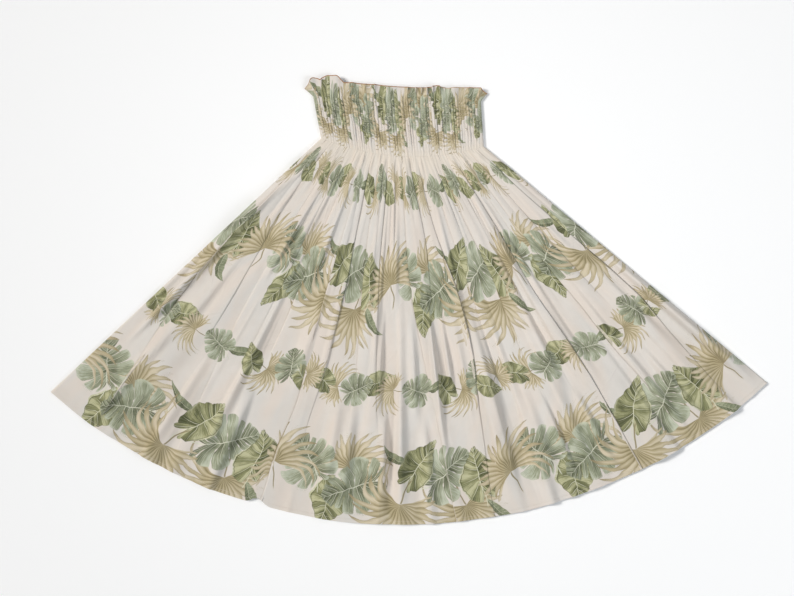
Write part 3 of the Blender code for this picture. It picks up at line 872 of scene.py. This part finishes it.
        # stalk, through the notch
        run = y - base
        stalk = g.smooth(g.abs(x - run * run * 0.55), 0.022, 0.010) * g.smooth(y, base + 0.03, base - 0.01) * g.smooth(y, -0.98, -0.90)
        color = g.mix(stalk * (1.0 - mask), shade, vein_colour)
        return color, g.math("MAXIMUM", mask, stalk * 0.8)

    return build


def palm_leaf(colours, blades, fan):
    dark, mid, light, tip = colours

    def build(g, x, y, tone, place):
        r = g.math("SQRT", x * x + y * y)
        turn = g.math("ARCTAN2", x, y)
        # blades droop outwards, and more to one side
        angle = (turn - r * r * 0.34) / (r * r * 0.30 + 1.0)
        step = 2 * fan / blades
        lane = angle / step
        number = g.math("FLOOR", lane)
        white = g.node("ShaderNodeTexWhiteNoise", noise_dimensions="2D")
        g.put(white.inputs["Vector"], g.combine(number + 0.5, tone * 17.0, 0.0))
        chance = g.wire(white.outputs["Value"])
        white2 = g.node("ShaderNodeTexWhiteNoise", noise_dimensions="2D")
        g.put(white2.inputs["Vector"], g.combine(number + 0.5, tone * 31.0 + 4.0, 0.0))
        second = g.wire(white2.outputs["Value"])
        f = lane - number - 0.5
        free = g.smooth(angle, -1.0, 1.0)
        long_ = free * 0.26 + 0.58 + chance * 0.16
        along = r / long_
        joined = 0.61 - free * 0.17 + second * 0.08
        taper = g.math("MAXIMUM", (along - joined) / (1.0 - joined), 0.0)
        half = (0.52 - g.smooth(taper, 0.0, 0.34) * (0.20 + second * 0.05)) * (1.0 - taper * taper)
        room = g.math("MAXIMUM", 0.5 - half, 0.0)
        shifted = f - (second - 0.5) * 1.9 * room * g.smooth(taper, 0.15, 0.8)
        lateral = (g.abs(shifted) - half) * r * step
        inside = g.smooth(lateral, 0.005, -0.005)
        inside = g.math("MAXIMUM", inside, g.smooth(taper, 0.02, 0.0))
        mask = inside * g.smooth(along, 1.0, 0.97) * g.smooth(g.abs(angle), fan + 0.02, fan - 0.02)
        cloud = g.noise(g.combine(x, y, tone * 11.0), 2.6, 2.0)
        grain = g.noise(g.combine(lane * 7.0, r * 1.2, tone), 2.4, 3.0)
        pleat = g.smooth(f, -0.46, 0.10) * (1.0 - g.smooth(f, 0.20, 0.50))
        bright = (tone * 0.16 - 0.03 + pleat * 0.44 + (chance - 0.5) * 0.26 + (cloud - 0.5) * 0.9 + (grain - 0.5) * 0.70
                  + g.smooth(r, 0.04, 0.50) * 0.30)
        shade = g.mix(g.smooth(bright, 0.04, 0.48), dark, mid)
        shade = g.mix(g.smooth(bright, 0.46, 0.92), shade, light)
        seam = g.smooth(g.abs(f), 0.40, 0.50) * g.smooth(taper, 0.15, 0.0)
        shade = g.mix(seam * 0.60, shade, dark)
        shade = g.mix(g.smooth(along, 0.72, 1.0) * (free * 0.5 + 0.4), shade, tip)
        shade = g.mix(g.smooth(shifted, 0.02, 0.26) * g.smooth(taper, 0.05, 0.3) * 0.55, shade, tip)
        stalk = g.smooth(g.abs(x + y * y * 0.35), 0.018, 0.008) * g.smooth(y, 0.02, -0.03) * g.smooth(y, -0.50, -0.43)
        color = g.mix(stalk * (1.0 - mask), shade, dark)
        return color, g.math("MAXIMUM", mask, stalk * 0.9)

    return build


def long_leaf(colours):
    dark, mid, light, vein_colour = colours

    def build(g, x, y, tone, place):
        bent = x - y * y * 0.26 + 0.08 + g.math("SINE", y * 3.1) * 0.05
        taper = g.math("MAXIMUM", 1.0 - y * y, 0.0)
        half = g.math("POWER", taper, 0.80) * (0.23 - y * 0.08)
        ratio = bent / g.math("MAXIMUM", half, 0.001)
        mask = g.smooth(g.abs(bent) - half, 0.005, -0.008) * g.smooth(g.abs(y), 0.995, 0.97)
        cloud = g.noise(g.combine(x, y, tone * 5.0 + 1.0), 2.6, 2.0)
        veins = g.math("FRACT", (y - g.abs(ratio + 0.15) * 0.13) * 6.0)
        streak = g.noise(g.combine(ratio * 1.4, (y - g.abs(ratio) * 0.13) * 24.0, tone), 3.0, 2.0)
        bright = tone * 0.24 + g.smooth(ratio, -0.30, 0.05) * 0.30 + (cloud - 0.5) * 0.9 + g.smooth(veins, 0.0, 0.9) * 0.18 + (streak - 0.5) * 0.8
        shade = g.mix(g.smooth(bright, 0.0, 0.42), dark, mid)
        shade = g.mix(g.smooth(bright, 0.42, 0.88), shade, light)
        rib = g.smooth(g.abs(ratio + 0.15) * half, 0.014, 0.004)
        line = g.smooth(g.abs(veins - 0.5), 0.45, 0.50) * 0.35
        shade = g.mix(g.math("MAXIMUM", rib * 0.8, line), shade, vein_colour)
        return shade, mask

    return build


SAGE = (rgb(95, 99, 76), rgb(142, 147, 122), rgb(184, 188, 168), rgb(208, 208, 188), rgb(198, 202, 180))
OLIVE = (rgb(85, 88, 58), rgb(132, 133, 94), rgb(186, 184, 147), rgb(210, 208, 182), rgb(206, 205, 180))
TAN = (rgb(138, 127, 93), rgb(178, 165, 133), rgb(206, 194, 169), rgb(140, 127, 93))
DEEP = (rgb(90, 94, 71), rgb(124, 130, 102), rgb(166, 170, 142), rgb(204, 202, 178))

BUILDERS = {
    "monstera": broad_leaf(8, True, 0.84, (-2.2, 5.24, 2.02, 0.35), SAGE, False),
    "palm": palm_leaf(TAN, 17, 1.95),
    "taro": broad_leaf(7, False, 0.60, (-2.7, 6.4, 2.5, 0.50), OLIVE, True),
    "long": long_leaf(DEEP),
}
GROUPS = {kind: leaf_group(f"leaf_{kind}", build) for kind, build in BUILDERS.items()}


def cotton_print(name):
    """Printed cotton: an ivory ground, four kinds of leaves, weave, and a paler print on the wrong side."""
    material = bpy.data.materials.new(name)
    material.use_nodes = True
    tree = material.node_tree
    g = Graph(tree)
    shader = tree.nodes["Principled BSDF"]
    cut = g.node("ShaderNodeAttribute", attribute_name="cut")
    u, v, side = g.split(g.wire(cut.outputs["Vector"]))
    flat = g.combine(u, v, 0.0)
    broad = g.noise(flat, 5.0, 2.0)
    mottle = g.noise(flat, 46.0, 3.0)
    ground = g.mix(g.smooth(broad, 0.32, 0.68), rgb(212, 204, 195), rgb(217, 210, 202))
    ground = g.mix(g.smooth(mottle, 0.35, 0.75) * 0.35, ground, rgb(208, 199, 189))
    # painted light: long patches running down the cloth along the folds; the cool grey ones are painted shade, the warm
    # pink ones a painted warm light tint
    painted_light_and_wear_patch = g.noise(g.combine(u * 26.0, v * 5.0, 0.0), 1.0, 2.0)
    ground = g.mix(g.smooth(painted_light_and_wear_patch, 0.48, 0.66) * 0.40, ground, rgb(206, 205, 201))
    ground = g.mix(g.smooth(painted_light_and_wear_patch, 0.50, 0.34) * 0.38, ground, rgb(221, 207, 194))
    seam = g.smooth(g.abs(v - 0.182), 0.060, 0.0)
    ground = g.mix(seam * 0.35, ground, rgb(224, 210, 188))
    color = ground
    for layer, kind in LAYERS.items():
        made = g.node("ShaderNodeGroup")
        made.node_tree = GROUPS[kind]
        place = g.node("ShaderNodeAttribute", attribute_name=f"on_{layer}")
        g.put(made.inputs["Place"], g.wire(place.outputs["Vector"]))
        g.put(made.inputs["Under"], color)
        color = g.wire(made.outputs["Color"])
    # dye that has not reached every thread
    fleck = g.noise(flat, 900.0, 2.0)
    color = g.mix(g.smooth(fleck, 0.58, 0.80) * 0.30, color, ground)
    wrong = g.smooth(side, 0.6, 0.9)
    color = g.mix(wrong * 0.55, color, rgb(219, 210, 200))
    tree.links.new(color.socket, shader.inputs["Base Color"])
    # weave: warp and weft threads, and small unevenness
    warp = g.math("SINE", u * (2 * math.pi / 0.00062))
    weft = g.math("SINE", v * (2 * math.pi / 0.00066))
    weave = g.math("MAXIMUM", warp * 0.5 + weft * 0.2, weft * 0.5 - warp * 0.2)
    slub = g.noise(g.combine(u * 6.0, v * 60.0, 0.0), 9.0, 2.0)
    crumple = g.noise(flat, 38.0, 3.0)
    # faint slanting creases where the cloth has been folded
    creased = 0.0
    for k, (a, b) in enumerate(((0.62, 0.78), (0.88, -0.47))):
        line = g.noise(g.combine((u * a + v * b) * 11.0, (v * a - u * b) * 1.3, 2.3 + 5.1 * k), 1.0, 1.0)
        where = g.noise(g.combine(u * 7.0, v * 7.0, 8.7 + 3.9 * k), 1.0, 1.0)
        creased = g.smooth(g.abs(line - 0.5), 0.014, 0.0) * g.smooth(where, 0.50, 0.62) + creased
    height = weave * 0.00004 + slub * 0.00006 + crumple * 0.00055 + creased * 0.00030
    bump = g.node("ShaderNodeBump")
    bump.inputs["Strength"].default_value = 0.75
    bump.inputs["Distance"].default_value = 1.0
    g.put(bump.inputs["Height"], height)
    tree.links.new(bump.outputs["Normal"], shader.inputs["Normal"])
    rough = g.smooth(mottle, 0.2, 0.8) * 0.10 + 0.78
    tree.links.new(rough.socket, shader.inputs["Roughness"])
    shader.inputs["Sheen Weight"].default_value = 0.18
    shader.inputs["Sheen Roughness"].default_value = 0.45
    shader.inputs["Specular IOR Level"].default_value = 0.25
    return material


def thread_material(name, colour, second, worn=None):
    material = bpy.data.materials.new(name)
    material.use_nodes = True
    tree = material.node_tree
    g = Graph(tree)
    shader = tree.nodes["Principled BSDF"]
    where = g.node("ShaderNodeTexCoord")
    twist = g.noise(g.wire(where.outputs["Object"]), 420.0, 2.0)
    mixed = g.mix(g.smooth(twist, 0.3, 0.7), colour, second)
    if worn:
        painted_light_and_wear_patch = g.noise(g.wire(where.outputs["Object"]), 24.0, 1.0)
        mixed = g.mix(g.smooth(painted_light_and_wear_patch, 0.48, 0.60) * 0.75, mixed, worn)
    tree.links.new(mixed.socket, shader.inputs["Base Color"])
    bump = g.node("ShaderNodeBump")
    bump.inputs["Strength"].default_value = 0.5
    bump.inputs["Distance"].default_value = 0.0002
    g.put(bump.inputs["Height"], twist)
    tree.links.new(bump.outputs["Normal"], shader.inputs["Normal"])
    shader.inputs["Roughness"].default_value = 0.6
    return material


# ---------------------------------------------------------------- pieces
def make_pieces():
    cloth = cotton_print("cotton_print")
    edge_thread = thread_material("edge_thread", rgb(144, 96, 58), rgb(172, 126, 86), rgb(200, 182, 160))
    sewing_thread = thread_material("sewing_thread", rgb(226, 216, 204), rgb(204, 194, 182))
    hem_top = 1 - HEM_DEEP / SKIRT_DROP
    made = {}
    for half, front in (("front", True), ("back", False)):
        fine = front
        per_ridge = 7 if front else 5
        # a narrow row beside each cut edge keeps the shading even up to it
        q = np.concatenate([[0.0, 0.0004], np.linspace(0, 0.30, 42 if fine else 26)[1:-1],
                            np.linspace(0.30, hem_top, 60 if fine else 40)[:-1], [hem_top - 0.0004, hem_top - 0.00002]])
        points, uv = skirt_grid(front, q, fine)
        made[f"skirt_{half}"] = shell(f"cloth_skirt_{half}", points, uv, CLOTH, front, cloth)
        q = np.concatenate([[hem_top, hem_top + 0.0004], np.linspace(hem_top, 1.0, 6)[1:-1], [0.9996, 1.0]])
        points, uv = skirt_grid(front, q, fine)
        made[f"hem_{half}"] = shell(f"cloth_hem_{half}", points, uv, HEM_CLOTH, front, cloth)
        stitched = skirt_grid(front, np.array([hem_top + 0.0016]), fine)[0][0]
        rows = np.linspace(0, BAND_ROWS, BAND_ROWS * (8 if front else 5) + 1)
        points, uv = band_grid(front, per_ridge, 1, rows=np.concatenate([[0.0, 0.03], rows[1:-1], [BAND_ROWS - 0.03, BAND_ROWS - 0.002]]))
        made[f"waistband_{half}"] = shell(f"cloth_waistband_{half}", points, uv, CLOTH, front, cloth)
        threads = list(band_grid(front, per_ridge, 1, rows=np.arange(BAND_ROWS + 1))[0] + (0, 0, 0.00006))
        if front:
            made["shirring_thread"] = tube("shirring_thread", threads[1:-1], 0.00011, 4, sewing_thread)
        points, uv = frill_grid(front, per_ridge, 12 if front else 8)
        made[f"heading_{half}"] = shell(f"cloth_heading_{half}", points, uv, CLOTH, front, cloth)
        edge = points[0] - (0, 0, (1 if front else -1) * CLOTH / 2)
        made[f"edge_{half}"] = tube(f"edge_thread_{half}", [edge], 0.00085, 6, edge_thread)
        # hem stitches
        if front:
            step = np.linalg.norm(np.diff(stitched, axis=0), axis=1)
            length = np.concatenate([[0], np.cumsum(step)])
            dashes = []
            for start in np.arange(0.004, length[-1] - 0.004, 0.0034):
                at = np.linspace(start, start + 0.0026, 4)
                line = np.stack([np.interp(at, length, stitched[:, k]) for k in range(3)], 1)
                line[:, 2] += np.array([0.0, 0.00014, 0.00014, 0.0])
                dashes.append(line)
            made["hem_stitches"] = tube("hem_stitches", dashes, 0.00015, 4, sewing_thread)
        for node in ("skirt", "hem", "waistband", "heading"):
            piece = made[f"{node}_{half}"]
            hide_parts(f"{node}_{half}")
    for piece in made.values():
        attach(piece, "root")
    return made


# ---------------------------------------------------------------- floor, light, camera
def make_stage():
    mesh = bpy.data.meshes.new("floor")
    s = 6.0
    mesh.from_pydata([(-s, -s, 0), (s, -s, 0), (s, s, 0), (-s, s, 0)], [], [(0, 1, 2, 3)])
    floor = bpy.data.objects.new("floor", mesh)
    floor.location.z = -0.0002
    bpy.context.scene.collection.objects.link(floor)
    material = bpy.data.materials.new("floor_white")
    material.use_nodes = True
    shader = material.node_tree.nodes["Principled BSDF"]
    shader.inputs["Base Color"].default_value = (0.955, 0.955, 0.955, 1)
    shader.inputs["Roughness"].default_value = 0.9
    shader.inputs["Specular IOR Level"].default_value = 0.1
    mesh.materials.append(material)

    world = bpy.data.worlds.new("studio")
    bpy.context.scene.world = world
    world.use_nodes = True
    back = world.node_tree.nodes["Background"]
    back.inputs["Color"].default_value = (0.95, 0.975, 1.0, 1)
    back.inputs["Strength"].default_value = 0.262

    for name, at, size, power, colour in (
        ("key", (-18.7, 4.7, 19.4), 7.7, 5720.0, (1.0, 0.975, 0.945)),
        ("fill", (3.0, -1.2, 2.8), 2.4, 54.0, (0.88, 0.94, 1.0)),
    ):
        light = bpy.data.lights.new(name, "AREA")
        light.shape = "DISK"
        light.size = size
        light.energy = power
        light.color = colour
        lamp = bpy.data.objects.new(name, light)
        lamp.location = at
        lamp.rotation_euler = (Vector((0, 0, 0)) - Vector(at)).to_track_quat("-Z", "Y").to_euler()
        bpy.context.scene.collection.objects.link(lamp)

    light = bpy.data.lights.new("top", "SPOT")
    light.spot_size = math.radians(25.0)
    light.spot_blend = 1.0
    light.shadow_soft_size = 0.5
    light.energy = 74.0
    lamp = bpy.data.objects.new("top", light)
    lamp.location = (0.02, 0.15, 3.4)
    bpy.context.scene.collection.objects.link(lamp)

    camera = bpy.data.cameras.new("camera")
    camera.lens = 85.0
    camera.sensor_width = 36.0
    camera.clip_end = 50
    seen = bpy.data.objects.new("camera", camera)
    wide = 794 * 0.00175
    seen.location = (-0.0211, 0.0039, wide * 85.0 / 36.0 + 0.010)
    bpy.context.scene.collection.objects.link(seen)
    bpy.context.scene.camera = seen
    view = bpy.context.scene.view_settings
    view.view_transform = "Standard"
    view.look = "None"
    view.exposure = 0.0
    view.gamma = 1.0


made = make_pieces()
make_stage()
